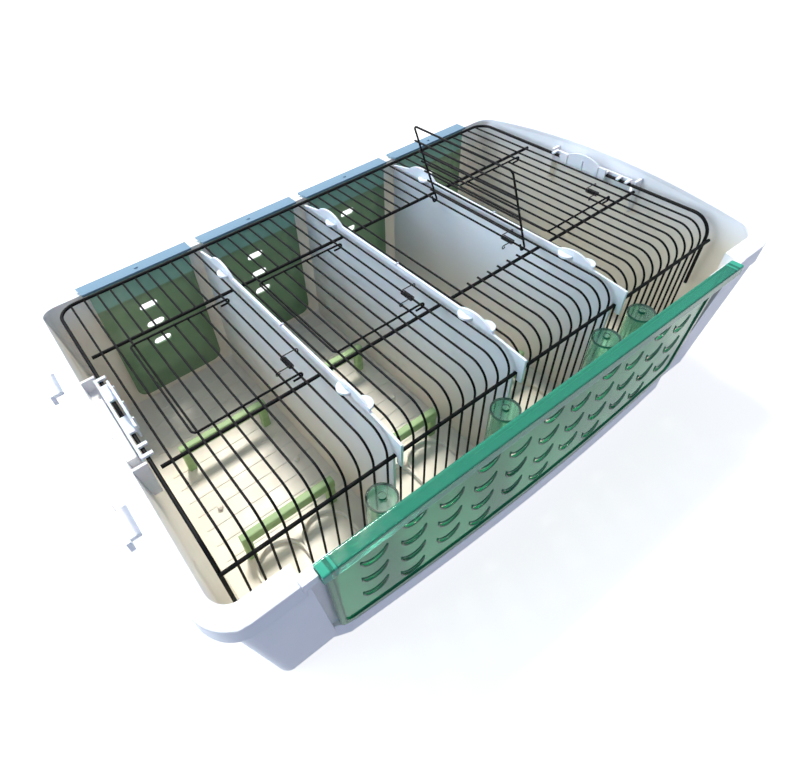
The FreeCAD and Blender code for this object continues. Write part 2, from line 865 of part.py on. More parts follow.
# End brackets that carry the grille's clips: two upright plates, a ledge and a pad between them.
rear_plate_y = deep(size("bracket_rear_at"))
front_plate_y = deep(size("bracket_front_at")) - size("bracket_plate")
ledge_z = top_z - size("ledge_drop")
plate_low = ledge_z - size("bracket_depth")
bracket_blocks = []
bracket_run = size("end_gap") + wall - size("bracket_reach")
bracket_tall = top_z + size("bracket_top") - plate_low
for side in (-1, 1):
    start_x = half + size("bracket_reach") if side > 0 else -half - size("end_gap") - wall
    for y in (rear_plate_y, front_plate_y):
        bracket_blocks.append(block(bracket_run, size("bracket_plate"), bracket_tall,
                                    (start_x, y, plate_low)))
    bracket_blocks.append(block(bracket_run, rear_plate_y - front_plate_y, size("bracket_plate"),
                                (start_x, front_plate_y, ledge_z - size("bracket_plate"))))
    pad_reach = size("clip_outer") + size("pad_play")
    pad_run = size("end_gap") + wall - pad_reach
    pad_x = half + pad_reach if side > 0 else start_x
    bracket_blocks.append(block(pad_run, size("pad_front_at") - size("pad_rear_at"), top_z - ledge_z,
                                (pad_x, deep(size("pad_front_at")), ledge_z)))
fittings.append(common(fuse(bracket_blocks), outer))
# Lugs outside the ends, a stem with a cross bar.
lug_z = top_z - size("lug_stem_drop") - size("lug_thick")
lug_bar_z = top_z - size("lug_bar_height")
lug_start = rim_half - skirt / 2
lug_bar_x = rim_half + size("lug_reach") - size("lug_bar_thick")
for side in (-1, 1):
    for turn in (-1, 1):
        y = deep(size("lug_mid_at")) + size("lug_spread") / 2 * turn
        stem_run = lug_bar_x - lug_start
        stem_x = lug_start if side > 0 else -lug_bar_x
        bar_x = lug_bar_x if side > 0 else -lug_bar_x - size("lug_bar_thick")
        fittings.append(block(stem_run, size("lug_stem"), size("lug_thick"),
                              (stem_x, y - size("lug_stem") / 2, lug_z)))
        fittings.append(block(size("lug_bar_thick"), size("lug_bar"), size("lug_bar_height"),
                              (bar_x, y - size("lug_bar") / 2, lug_bar_z)))
# Hinge ears at the front window, with the pins that carry the flap.
pivot_y = bar_y - size("pivot_gap")
pivot_z = top_z - size("pivot_drop")
pivot = size("pivot_dia") / 2
ear_width = size("pillar_gap") + wall
for side in (-1, 1):
    ear_x = window if side > 0 else -window - ear_width
    fittings.append(block(ear_width, size("ear_depth"), size("ear_height"),
                          (ear_x, pivot_y - pivot - wall / 2, pivot_z - size("ear_height") / 2)))
    pin_x = window - size("pivot_length") if side > 0 else -window - wall
    fittings.append(rod(pivot, size("pivot_length") + wall, (pin_x, pivot_y, pivot_z), ALONG_X))
# Floor studs for the perches, spare studs and the scalloped edges of the seed trays.
stud = size("stud_dia") / 2
foot_reach = (size("perch_length") - size("perch_leg")) / 2
rear_perch_y = deep(size("rear_perch_at"))
front_perch_y = bar_y + size("front_perch_back")
for bay in range(bays):
    mid = bay_x(bay) - size("perch_shift")
    for stud_y in (rear_perch_y, front_perch_y, deep(size("spare_stud_at"))):
        for side in (-1, 1):
            fittings.append(rod(stud, size("stud_height"), (mid + foot_reach * side, stud_y, floor_z)))
    ridge = size("tray_wall")
    tray_y = bar_y + size("tray_back")
    for side in (-1, 1):
        x = bay_x(bay) - size("tray_shift") + size("tray_pitch") / 2 * side
        sweep = size("tray_radius")
        tall = size("tray_height")
        shell = cut(rod(sweep + ridge / 2, tall, (x, tray_y, floor_z)),
                    rod(sweep - ridge / 2, tall, (x, tray_y, floor_z)))
        upper = block(sweep * 2 + ridge * 2, sweep + ridge, tall, (x - sweep - ridge, tray_y, floor_z))
        fittings.append(common(shell, upper))
        legs_run = size("tray_back") - size("tray_end_back")
        for turn in (-1, 1):
            leg_x = x + sweep * turn - ridge / 2
            fittings.append(block(ridge, legs_run, tall, (leg_x, tray_y - legs_run, floor_z)))
ports = []
port_tall = top_z - size("port_drop") - size("port_bottom")
for bay in range(bays):
    spot = (bay_x(bay) - size("port_width") / 2, back_y + size("back_gap") - wall, size("port_bottom"))
    ports.append(rounded_block(size("port_width"), wall * 4, port_tall, size("port_corner"), spot, "y"))
basin = cut(fuse([tub, rim] + fittings), bundle(ports))
piece("basin", basin)

# Front flap: a top roll on the ear pins, a face that swells outwards to the sill, a raised border
# round its edge and staggered columns of crescent louvres. The even columns have a fourth crescent
# under the roll.
flap_half = window - size("flap_play")
roll_back_y = bar_y - size("roll_gap")
roll_front_y = roll_back_y - size("roll_depth")
roll_low_z = top_z - size("roll_height")
roll = rounded_block(flap_half * 2, size("roll_depth"), size("roll_height"), size("roll_round"),
                     (-flap_half, roll_front_y, roll_low_z), "x")
flap_low = sill + size("sill_play")
bow = size("bulge_radius")
flap_mid_y = deep(bulge_depth)


high_z = roll_low_z + size("roll_round")
face_y = bar_y - size("face_gap")
top_half = flap_half - size("face_inset")
low_half = top_half - size("face_taper")


def half_at(z):
    """Half the face's length at one height; its ends lean in towards the foot."""
    return low_half + (top_half - low_half) * (z - flap_low) / (high_z - flap_low)


def face(near, far):
    """A layer of the face, ruled from a straight edge behind the roll to an arc over the sill."""
    body = fresh("PartDesign::Body")
    upper = outline(body, "XY_Plane",
                    [(-flap_half, face_y + near), (flap_half, face_y + near),
                     (flap_half, face_y + far), (-flap_half, face_y + far)], None, high_z)
    outside = bow - near
    inside = bow - far
    end_outer = flap_mid_y + bow - root_of(outside * outside - flap_half * flap_half)
    end_inner = flap_mid_y + bow - root_of(inside * inside - flap_half * flap_half)
    lower = outline(body, "XY_Plane",
                    [(-flap_half, end_outer), (flap_half, end_outer),
                     (flap_half, end_inner), (-flap_half, end_inner)],
                    {0: (outside, 1), 2: (inside, -1)}, flap_low)
    doc.recompute()
    loft = body.newObject("PartDesign::AdditiveLoft", body.Name + "_loft")
    loft.Profile = lower
    loft.Sections = [upper]
    loft.Ruled = True
    body.Tip = loft
    return body


def face_plate(inset, low, high, radius):
    """A deep plate with the face's front outline, moved in by inset, with rounded lower corners."""
    high_half = half_at(high) - inset
    bend_half = half_at(low + radius) - inset
    foot_half = half_at(low) - inset - radius
    spots = [(-high_half, high), (-bend_half, low + radius), (-foot_half, low),
             (foot_half, low), (bend_half, low + radius), (high_half, high)]
    return padded("XZ_Plane", spots, size("roll_gap") + size("roll_depth") * 2, (0, bar_y, 0),
                  {1: (radius, 1), 3: (radius, 1)})


bead = size("flap_bead_width")
trim = face_plate(as_size(0), flap_low, high_z, size("flap_corner"))
field = face_plate(bead, flap_low + bead, roll_low_z - bead / 2, size("flap_corner") - bead / 2)
recess = size("flap_bead") - size("flap_wall")
sheet_face = cut(common(face(as_size(0), size("flap_bead")), trim), common(face(-recess, recess), field))
louvres = []
columns = count("louvre_columns")
for column in range(columns):
    for line in range(-(column % 2), count("louvre_rows")):
        x = size("louvre_pitch") * (column - (columns - 1) / 2)
        z = top_z - size("louvre_drop") - size("louvre_row_pitch") * (line + column % 2 / 2)
        y = roll_front_y - wall
        run = size("roll_depth") * 2 + wall
        louvres.append(cut(rod(size("louvre_radius"), run, (x, y, z), ALONG_Y),
                           rod(size("louvre_inner_radius"), run, (x, y, z + size("louvre_inner_lift")),
                               ALONG_Y)))
flap = fuse([roll, sheet_face])
bore = pivot + size("pivot_play")
flap_bores = []
for side in (-1, 1):
    deepness = size("pivot_length") + size("flap_play")
    bore_x = window - deepness if side > 0 else -window
    flap_bores.append(rod(bore, deepness, (bore_x, pivot_y, pivot_z), ALONG_X))
flap = cut(flap, bundle(louvres + flap_bores))
piece("front_flap", flap)

# Rear panels: a plate inside the back wall with three vents, hung by a lip on the back rim.
lip_reach = hole_back - arch_y
lip_z = arch_z + root_of(arch * arch - lip_reach * lip_reach) + size("lip_rest")
panel_y = back_y + size("panel_back")
panel_low = size("panel_foot")
for bay in range(bays):
    mid = bay_x(bay)
    plate_spot = (mid - size("panel_width") / 2, panel_y, panel_low)
    plate_tall = lip_z + size("lip_wall") - panel_low
    plate = rounded_block(size("panel_width"), size("panel_wall"), plate_tall + size("panel_corner") * 2,
                          size("panel_corner"), plate_spot, "y")
    keep = block(size("panel_width"), size("panel_wall"), plate_tall, plate_spot)
    lip_half = size("lip_length") / 2
    flare = size("lip_flare")
    lip = padded("XY_Plane",
                 [(-lip_half, 0), (lip_half, 0), (lip_half, size("lip_back") - size("panel_back")),
                  (-lip_half - flare, size("lip_back") - size("panel_back"))],
                 size("lip_wall"), (mid, panel_y, lip_z))
    notch = size("lip_mark")
    notch_z = lip_z + size("lip_wall") - size("lip_mark_depth")
    vents = [padded("XY_Plane", [(0, 0), (notch / 2, notch), (-notch / 2, notch)], size("lip_wall"),
                    (mid, panel_y + size("lip_mark_back"), notch_z))]
    slot_wide = size("slot_width")
    slot_tall = size("slot_height")
    for line in range(count("slots")):
        z = top_z - size("slot_first_drop") - size("slot_pitch") * line - slot_tall / 2
        spot = (mid - size("slot_shift") - slot_wide / 2, panel_y - size("panel_wall"), z)
        vents.append(rounded_block(slot_wide, size("panel_wall") * 3, slot_tall, slot_tall * 0.49,
                                   spot, "y"))
    piece("rear_panel_%d" % (bay + 1), cut(fuse([common(plate, keep), lip]), bundle(vents)))

# Dividers: plates let in from above between two wires, with wings that rest on the wires and a
# nose that hooks over the front cross wire.
thin = size("divider_wall")
play = size("divider_play")
rail_z = top_z + size("divider_top")
wing_z = top_z + wire + play


def hump_radius(chord_square, rise):
    """Radius of the arc that stands the given rise above its chord."""
    return (chord_square / 4 + rise * rise) / (rise * 2)


def wing(x, y, side):
    """Half a disc beside a divider, which rests on the next wire."""
    reach = size("wing_reach")
    start = x if side > 0 else x - reach
    return common(rod(reach, size("wing_wall"), (x, y, wing_z)),
                  block(reach, reach * 2, size("wing_wall"), (start, y - reach, wing_z)))


for gap in range(bays - 1):
    x = wire_x(divider_index(gap))
    rear = deep(size("divider_rear_at"))
    front = bend_cross_y + frame + size("divider_front_play")
    hook_in = bend_cross_y - frame - play
    nose = bar_y - size("nose_reach")
    hook_top = bend_cross_z + frame + play
    nose_top = top_z - size("nose_top_drop")
    rear_ear = deep(size("rear_ear_at"))
    rear_long = size("rear_ear_length")
    front_ear = bar_y + size("front_ear_back")
    front_long = size("front_ear_length")
    fall = size("rail_front_drop")
    profile = [(rear, floor_z + play), (rear, top_z - wire),
               (rear_ear, rail_z), (rear_ear - rear_long, rail_z),
               (front_ear, rail_z), (front_ear - front_long, rail_z - fall),
               (nose, nose_top), (nose, top_z - size("nose_drop")),
               (hook_in, top_z - size("nose_drop")), (hook_in, hook_top), (front, hook_top),
               (front, floor_z + play)]
    humps = {2: (hump_radius(rear_long * rear_long, size("rear_ear_rise")), 1),
             4: (hump_radius(front_long * front_long + fall * fall, size("front_ear_rise")), 1)}
    plate = padded("YZ_Plane", profile, thin, (x - thin / 2, 0, 0), humps)
    mark = size("pin_size")
    mark_y = deep(size("pin_at"))
    mark_z = rail_z - thin / 2
    left_wing_y = front_ear - size("wing_lead")
    wings = [wing(x, rear_ear - size("rear_wing_lead"), -1), wing(x, left_wing_y, -1),
             wing(x, left_wing_y - size("wing_stagger"), 1),
             block(mark, thin / 2, thin, (x - mark / 2, mark_y, mark_z))]
    piece("divider_%d" % (gap + 1), fuse([plate] + wings))

# Drinkers: an upturned tube in a cup on the gallery floor, with a spout between two bars.
tube = size("tube_dia") / 2
cup = tube + size("cup_play") + size("cup_wall")
drinker_y = bend_cross_y - frame - size("tube_gap") - tube
drinker_z = floor_z + size("drinker_lift")
for bay in range(bays):
    slot_index = divider_index(bay) - size("hinge_gap_count") - 0.5
    if bay == bays - 1:
        slot_index = divider_index(bay - 1) + 2
    x = wire_x(slot_index)
    seat_z = drinker_z + size("cup_step")
    tube_top = top_z - size("tube_top_drop")
    tube_run = tube_top - seat_z
    skin = size("tube_wall")
    body = cut(rod(tube, tube_run, (x, drinker_y, seat_z)),
               rod(tube - skin, tube_run - skin, (x, drinker_y, seat_z)))
    nub = rod(size("nub_dia") / 2, size("nub_height"), (x, drinker_y, tube_top))
    piece("drinker_tube_%d" % (bay + 1), fuse([body, nub]))
    spout_z = drinker_z + size("spout_lift")
    spout_run = bar_y + wire - drinker_y + size("spout_reach")
    spout_wide = size("spout_width")
    spout_tall = size("spout_height")
    spout = block(spout_wide, spout_run, spout_tall, (x - spout_wide / 2, drinker_y, spout_z))
    edge = size("spout_wall")
    trough = block(spout_wide - edge * 2, spout_run - edge, spout_tall - edge,
                   (x - spout_wide / 2 + edge, drinker_y, spout_z + edge))
    cup_tall = size("cup_height")
    seat_bore = rod(tube + size("cup_play"), cup_tall, (x, drinker_y, seat_z))
    well = rod(tube - skin * 2, cup_tall, (x, drinker_y, drinker_z + size("cup_floor")))
    base = cut(fuse([rod(cup, cup_tall, (x, drinker_y, drinker_z)), spout]),
               fuse([seat_bore, well, trough]))
    piece("drinker_base_%d" % (bay + 1), base)

# Perches: a bar with rounded edges on a leg at each end, both over studs in the floor.
perch_run = size("perch_length")
perch_deep = size("perch_depth")
soft = size("perch_round")
leg = size("perch_leg")
perch_low = size("perch_top") - size("perch_thick")
socket = stud + size("stud_play")
for bay in range(bays):
    mid = bay_x(bay) - size("perch_shift")
    for name, y in (("rear", rear_perch_y), ("front", front_perch_y)):
        near_y = y - perch_deep / 2
        parts = [rounded_block(perch_run, perch_deep, size("perch_thick"), soft,
                               (mid - perch_run / 2, near_y, perch_low), "x")]
        bores = []
        for side in (-1, 1):
            foot_x = mid + foot_reach * side
            parts.append(rounded_block(leg, perch_deep, perch_low + soft - floor_z, soft,
                                       (foot_x - leg / 2, near_y, floor_z)))
            bores.append(rod(socket, size("stud_height") + size("stud_play"), (foot_x, y, floor_z)))
        piece("%s_perch_%d" % (name, bay + 1), cut(fuse(parts), bundle(bores)))

# Grille clips: a rail on the end ledge, fingers and bridges over the frame wire, and an arched
# finger plate on the inner side.
over_z = frame_z + frame + size("clip_play")
clip_rear = deep(size("clip_rear_at"))
clip_front = deep(size("clip_front_at"))
clip_mid = deep(size("clip_mid_at"))
plate_half = size("clip_plate_length") / 2
for name, side in (("left", -1), ("right", 1)):
    def across(near, far):
        """Start and run along X between two reaches outwards of the end frame wire."""
        start = half + near if side > 0 else -half - far
        return start, far - near

    parts = []
    rail_x, rail_run = across(size("clip_outer") - size("clip_wall"), size("clip_outer"))
    parts.append(block(rail_run, clip_rear - clip_front, over_z + size("clip_bridge") - ledge_z,
                       (rail_x, clip_front, ledge_z)))
    inside = -size("clip_inner") - size("clip_plate")
    inner_x, inner_run = across(inside, -size("clip_inner"))
    span_x, span_run = across(inside, size("clip_outer"))
    plate_low_z = top_z - size("clip_plate_drop")
    parts.append(block(inner_run, plate_half * 2, top_z + size("clip_shoulder") - plate_low_z,
                       (inner_x, clip_mid - plate_half, plate_low_z)))
    rise = size("clip_crest") - size("clip_shoulder")
    chord = size("clip_arch_width") / 2
    sweep = (chord * chord + rise * rise) / (rise * 2)
    crest = rod(sweep, inner_run, (inner_x, clip_mid, top_z + size("clip_crest") - sweep), ALONG_X)
    cap = block(inner_run, chord * 2, rise, (inner_x, clip_mid - chord, top_z + size("clip_shoulder")))
    parts.append(common(crest, cap))
    rib = size("clip_rib")
    rib_x, rib_run = across(inside - rib, inside)
    for turn in (-1, 0, 1):
        parts.append(block(rib_run, rib, size("clip_shoulder") + size("clip_plate_drop"),
                           (rib_x, clip_mid + size("clip_rib_pitch") * turn - rib / 2, plate_low_z)))
    for turn in (-1, 1):
        bridge = size("clip_bridge_length")
        start_y = clip_mid + plate_half - bridge if turn > 0 else clip_mid - plate_half
        parts.append(block(span_run, bridge, size("clip_bridge"), (span_x, start_y, over_z)))
    for end_y, turn in ((clip_rear - size("clip_finger"), -1), (clip_front, 1)):
        for step in (0, 1):
            parts.append(block(span_run, size("clip_finger"), size("clip_bridge"),
                               (span_x, end_y + size("clip_finger_gap") * step * turn, over_z)))
    piece("grille_clip_%s" % name, fuse(parts))

doc.recompute()
faults = []
for thing in doc.Objects:
    if "Invalid" in thing.State or "Error" in thing.State:
        faults.append("%s %s %s" % (thing.Name, thing.Label, thing.State))
for thing in pieces:
    shape = thing.Shape
    if shape.isNull() or not shape.isValid() or not shape.Solids:
        faults.append("%s has no valid solid" % thing.Label)
if faults:
    raise RuntimeError("; ".join(faults))

os.makedirs("parts", exist_ok=True)
for thing in pieces:
    thing.Shape.exportStep("parts/%s.step" % thing.Label)
    box = thing.Shape.BoundBox
    print("%-20s solids %3d volume %9.1f  x %.1f %.1f  y %.1f %.1f  z %.1f %.1f" % (
        thing.Label, len(thing.Shape.Solids), thing.Shape.Volume,
        box.XMin, box.XMax, box.YMin, box.YMax, box.ZMin, box.ZMax))
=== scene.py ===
# %% [markdown]
# # A carrier for small cage birds
# The imported model gives every rigid piece of the carrier: the white tub, the black wire grille with
# its doors, the frosted dividers, and the green flap, panels, drinkers and perches. This lesson
# dresses that model. We first load it. Nothing that we add may make the carrier any bigger.

# %% Load the model
import math

import bmesh
import bpy
from mathutils import Matrix, Vector


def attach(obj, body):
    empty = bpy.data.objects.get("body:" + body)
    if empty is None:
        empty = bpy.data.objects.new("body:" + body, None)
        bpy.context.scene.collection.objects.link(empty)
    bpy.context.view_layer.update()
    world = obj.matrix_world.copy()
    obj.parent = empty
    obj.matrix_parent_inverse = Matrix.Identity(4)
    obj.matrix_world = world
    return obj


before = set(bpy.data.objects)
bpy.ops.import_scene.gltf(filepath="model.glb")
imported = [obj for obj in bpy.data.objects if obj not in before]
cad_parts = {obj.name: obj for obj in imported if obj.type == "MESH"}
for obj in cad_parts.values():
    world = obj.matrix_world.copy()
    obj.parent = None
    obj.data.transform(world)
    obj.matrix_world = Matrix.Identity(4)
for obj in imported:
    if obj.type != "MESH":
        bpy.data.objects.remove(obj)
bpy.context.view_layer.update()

scene = bpy.context.scene
MM = 0.001

# %% [markdown]
# ## The camera
# The picture looks down on the carrier from its left front corner. Where the camera stood was worked
# out from the even spacing of the wires. The object sits off the middle of the picture, so the lens
# is shifted by a few percent, as a view camera's would be.

# %% Put the camera where the photographer stood
PICTURE_WIDTH = 800
SENSOR_WIDTH = 36.0
FOCAL_PIXELS = 563.9
LENS_SHIFT = 0.0608
NEAREST_SEEN = 0.01
EYE_PLACE = Vector((-262.9, -305.2, 451.4)) * MM
VIEW_AZIMUTH = math.radians(32.50)
VIEW_ELEVATION = math.radians(48.03)
VIEW_ROLL = math.radians(-5.99)

eye = bpy.data.cameras.new("eye")
eye.sensor_width = SENSOR_WIDTH
eye.lens = FOCAL_PIXELS * SENSOR_WIDTH / PICTURE_WIDTH
eye.shift_x = LENS_SHIFT
eye.clip_start = NEAREST_SEEN
camera = bpy.data.objects.new("camera", eye)
scene.collection.objects.link(camera)
flat = math.cos(VIEW_ELEVATION)
forward = Vector((math.sin(VIEW_AZIMUTH) * flat, math.cos(VIEW_AZIMUTH) * flat,
                  -math.sin(VIEW_ELEVATION)))
turn = forward.to_track_quat("-Z", "Y").to_matrix() @ Matrix.Rotation(VIEW_ROLL, 3, "Z")
camera.matrix_world = Matrix.Translation(EYE_PLACE) @ turn.to_4x4()
scene.camera = camera
print("camera at", tuple(round(v, 3) for v in camera.matrix_world.translation))

# %% [markdown]
# ## The floor
# The carrier is shown cut out on white. A floor that only reflects would look grey under a lamp, so
# ours also glows a little, as a light table does. Its glow isn't allowed to fall on the carrier,
# because light from below would wash out the shade on the walls.

# %% Lay the floor
FLOOR_REACH = 12.0
FLOOR_SINK = 0.0005
FLOOR_GREY = (0.4, 0.4, 0.4)
FLOOR_ROUGHNESS = 0.9
FLOOR_GLOW = 0.78

scene.view_settings.view_transform = "Standard"

def plain_finish(name, colour, roughness):
    """A material whose Principled shader has one colour, and the shader itself."""
    material = bpy.data.materials.new(name)
    material.use_nodes = True
    shader = material.node_tree.nodes["Principled BSDF"]
    shader.inputs["Base Color"].default_value = (*colour, 1.0)
    shader.inputs["Roughness"].default_value = roughness
    return material, shader

ground = bmesh.new()
bmesh.ops.create_grid(ground, x_segments=1, y_segments=1, size=FLOOR_REACH)
ground_mesh = bpy.data.meshes.new("studio_floor")
ground.to_mesh(ground_mesh)
ground.free()
studio_floor = bpy.data.objects.new("studio_floor", ground_mesh)
scene.collection.objects.link(studio_floor)
studio_floor.location.z = -FLOOR_SINK
floor_paint, floor_shader = plain_finish("studio_floor_paint", FLOOR_GREY, FLOOR_ROUGHNESS)
floor_shader.inputs["Specular IOR Level"].default_value = 0.0
floor_shader.inputs["Emission Color"].default_value = (1.0, 1.0, 1.0, 1.0)
floor_shader.inputs["Emission Strength"].default_value = FLOOR_GLOW
studio_floor.visible_diffuse = False
ground_mesh.materials.append(floor_paint)
print("floor:", studio_floor.name)

# %% [markdown]
# ## The sky
# On a sunny day the shade is blue, because only the sky lights it. A colour ramp from below the
# horizon to the zenith is enough for that. One flat colour would be simpler, but the walls would
# then lose the slow change from top to bottom.

# %% Paint the sky
SKY_LOW, SKY_HIGH = -0.4, 0.8
SKY_LEVEL_AT = 0.36
SKY_BELOW = (0.17, 0.21, 0.32, 1.0)
SKY_LEVEL = (0.29, 0.37, 0.60, 1.0)
SKY_ABOVE = (0.47, 0.53, 0.66, 1.0)
SKY_STRENGTH = 0.95

sky = bpy.data.worlds.new("studio_sky")
sky.use_nodes = True
sky_nodes = sky.node_tree.nodes
sky_links = sky.node_tree.links
sky_height = sky_nodes.new("ShaderNodeSeparateXYZ")
sky_links.new(sky_nodes.new("ShaderNodeTexCoord").outputs["Generated"], sky_height.inputs["Vector"])
sky_reach = sky_nodes.new("ShaderNodeMapRange")
sky_reach.inputs["From Min"].default_value = SKY_LOW
sky_reach.inputs["From Max"].default_value = SKY_HIGH
sky_links.new(sky_height.outputs["Z"], sky_reach.inputs["Value"])
sky_ramp = sky_nodes.new("ShaderNodeValToRGB")
sky_ramp.color_ramp.elements[0].color = SKY_BELOW
sky_ramp.color_ramp.elements[1].color = SKY_ABOVE
sky_ramp.color_ramp.elements.new(SKY_LEVEL_AT).color = SKY_LEVEL
sky_links.new(sky_reach.outputs["Result"], sky_ramp.inputs["Fac"])
sky_links.new(sky_ramp.outputs["Color"], sky_nodes["Background"].inputs["Color"])
sky_nodes["Background"].inputs["Strength"].default_value = SKY_STRENGTH
scene.world = sky
print("sky colours:", len(sky_ramp.color_ramp.elements))

# %% [markdown]
# ## The lamps
# A wide lamp behind the carrier, high and a little to its right, stands for the sun. It is wide
# enough to blur the thin shadows of the wires. A large soft lamp on the left lifts the faces that
# look that way.

# %% Hang the lamps
LAMP_TARGET = (0.0, 0.0, 0.1)

def soft_lamp(name, place, target, width, watts, colour):
    """A square area lamp at place that shines towards target."""
    light = bpy.data.lights.new(name, "AREA")
    light.size = width
    light.energy = watts
    light.color = colour
    lamp = bpy.data.objects.new(name, light)
    scene.collection.objects.link(lamp)
    aim = (Vector(target) - Vector(place)).to_track_quat("-Z", "Y").to_matrix().to_4x4()
    lamp.matrix_world = Matrix.Translation(Vector(place)) @ aim
    return lamp

lamps = [
    soft_lamp("sun_lamp", (0.72, 2.15, 3.55), LAMP_TARGET, 0.75, 210.0, (1.0, 0.95, 0.86)),
    soft_lamp("left_lamp", (-3.1, 1.3, 1.4), LAMP_TARGET, 2.2, 110.0, (0.78, 0.90, 1.0)),
]
print("lamps:", [lamp.name for lamp in lamps])

# %% [markdown]
# ## Building a finish from nodes
# Each finish starts from one Principled shader. A small class keeps the recipes short: noise lays a
# pattern over the piece's own coordinates, ramp turns it into a soft mask, blend mixes two colours by
# a mask, and relief makes a bump. Coordinates are in metres, so a noise scale of 1000 has grains
# about a millimetre wide.

# %% Helpers for the finishes
class Finish:
    """A material under construction: its node tree, its shader and its object coordinates."""

    def __init__(self, name):
        self.material = bpy.data.materials.new(name)
        self.material.use_nodes = True
        self.tree = self.material.node_tree
        self.shader = self.tree.nodes["Principled BSDF"]
        self.place = self.tree.nodes.new("ShaderNodeTexCoord").outputs["Object"]

    def node(self, kind, **settings):
        made = self.tree.nodes.new(kind)
        for name, value in settings.items():
            setattr(made, name, value)
        return made

    def link(self, start, end):
        self.tree.links.new(start, end)

    def fixed(self, **values):
        """Sets the shader's own sockets, by their names with _ for a space."""
        for name, value in values.items():
            self.shader.inputs[name.replace("_", " ")].default_value = value

    def noise(self, scale, detail=3.0, stretch=(1.0, 1.0, 1.0)):
        mapping = self.node("ShaderNodeMapping")
        mapping.inputs["Scale"].default_value = stretch
        self.link(self.place, mapping.inputs["Vector"])
        cloud = self.node("ShaderNodeTexNoise")
        cloud.inputs["Scale"].default_value = scale
        cloud.inputs["Detail"].default_value = detail
        self.link(mapping.outputs["Vector"], cloud.inputs["Vector"])
        return cloud.outputs["Fac"]

    def ramp(self, value, low, high, start=0.0, end=1.0):
        """value carried from low..high to start..end, held at both ends."""
        reach = self.node("ShaderNodeMapRange", clamp=True)
        reach.inputs["From Min"].default_value = low
        reach.inputs["From Max"].default_value = high
        reach.inputs["To Min"].default_value = start
        reach.inputs["To Max"].default_value = end
        self.link(value, reach.inputs["Value"])
        return reach.outputs["Result"]

    def math(self, operation, first, second):
        sum_node = self.node("ShaderNodeMath", operation=operation)
        for socket, value in zip(sum_node.inputs, (first, second)):
            if isinstance(value, (int, float)):
                socket.default_value = value
            else:
                self.link(value, socket)
        return sum_node.outputs["Value"]

    def blend(self, mask, first, second):
        """Colour first where the mask is 0 and second where it is 1; either may be a socket."""
        mix = self.node("ShaderNodeMix", data_type="RGBA")
        self.link(mask, mix.inputs["Factor"])
        for socket, colour in ((mix.inputs[6], first), (mix.inputs[7], second)):
            if isinstance(colour, tuple):
                socket.default_value = (*colour, 1.0)
            else:
                self.link(colour, socket)
        return mix.outputs[2]

    def axis(self, which):
        split = self.node("ShaderNodeSeparateXYZ")
        self.link(self.place, split.inputs["Vector"])
        return split.outputs[which]

    def colour(self, socket):
        self.link(socket, self.shader.inputs["Base Color"])

    def roughness(self, socket):
        self.link(socket, self.shader.inputs["Roughness"])

    def relief(self, height, depth, strength=1.0, edge=0.0):
        """A bump from a height of 0..1, depth metres deep, over edges rounded by edge metres."""
        bump = self.node("ShaderNodeBump")
        if edge:
            rounding = self.node("ShaderNodeBevel", samples=4)
            rounding.inputs["Radius"].default_value = edge
            self.link(rounding.outputs["Normal"], bump.inputs["Normal"])
        bump.inputs["Strength"].default_value = strength
        bump.inputs["Distance"].default_value = depth
        self.link(height, bump.inputs["Height"])
        self.link(bump.outputs["Normal"], self.shader.inputs["Normal"])

print("finish helpers ready")

# %% [markdown]
# ## White tub plastic
# The tub is moulded in white polypropylene. It is satin and a little waxy. Its inner faces below the
# rim are painted a mottled cream, which is painted warm bounce light from the sunlit floor. Which side
# of a wall we are on follows from the surface's direction: a face that looks towards the middle of
# the carrier is an inner one.

# %% The tub's finish
# The cream colour here is painted warm bounce light on the inner faces below the rim.
BOUNCE_CREAM = (0.83, 0.77, 0.65)
BOUNCE_FROM, BOUNCE_FULL = 0.148, 0.12

white = Finish("tub_white")
white.fixed(Specular_IOR_Level=0.4, Subsurface_Weight=0.08, Subsurface_Scale=0.004)
clouds = white.noise(9.0, 4.0)
tone = white.blend(white.ramp(clouds, 0.3, 0.7), (0.82, 0.83, 0.85), (0.87, 0.87, 0.88))
facing = white.node("ShaderNodeVectorMath", operation="DOT_PRODUCT")
white.link(white.place, facing.inputs[0])
white.link(white.node("ShaderNodeNewGeometry").outputs["Normal"], facing.inputs[1])
inner_side = white.ramp(facing.outputs["Value"], 0.03, 0.008)
lowness = white.ramp(white.axis("Z"), BOUNCE_FROM, BOUNCE_FULL)
# The mask of the painted warm bounce light: inner faces, below the rim, a little mottled.
painted_bounce = white.math("MULTIPLY", white.math("MULTIPLY", inner_side, lowness),
                  white.ramp(white.noise(28.0, 6.0), 0.25, 0.75, 0.75, 1.0))
white.colour(white.blend(painted_bounce, tone, BOUNCE_CREAM))
white.roughness(white.ramp(white.noise(60.0, 5.0, (1.0, 1.0, 4.0)), 0.3, 0.75, 0.32, 0.48))
white.relief(white.noise(1400.0, 2.0), 0.00012, 0.35, edge=0.0012)
print("white plastic:", len(white.tree.nodes), "nodes")

# %% [markdown]
# ## Frosted divider plastic
# Dividers and grille clips are thin frosted sheets. Light goes into them and comes out scattered, so
# the shader has some rough transmission, and a fine grain breaks up the gloss.

# %% The frosted finish
frosted = Finish("frosted_plastic")
frosted.fixed(Transmission_Weight=0.18, IOR=1.46, Subsurface_Weight=0.2, Subsurface_Scale=0.004)
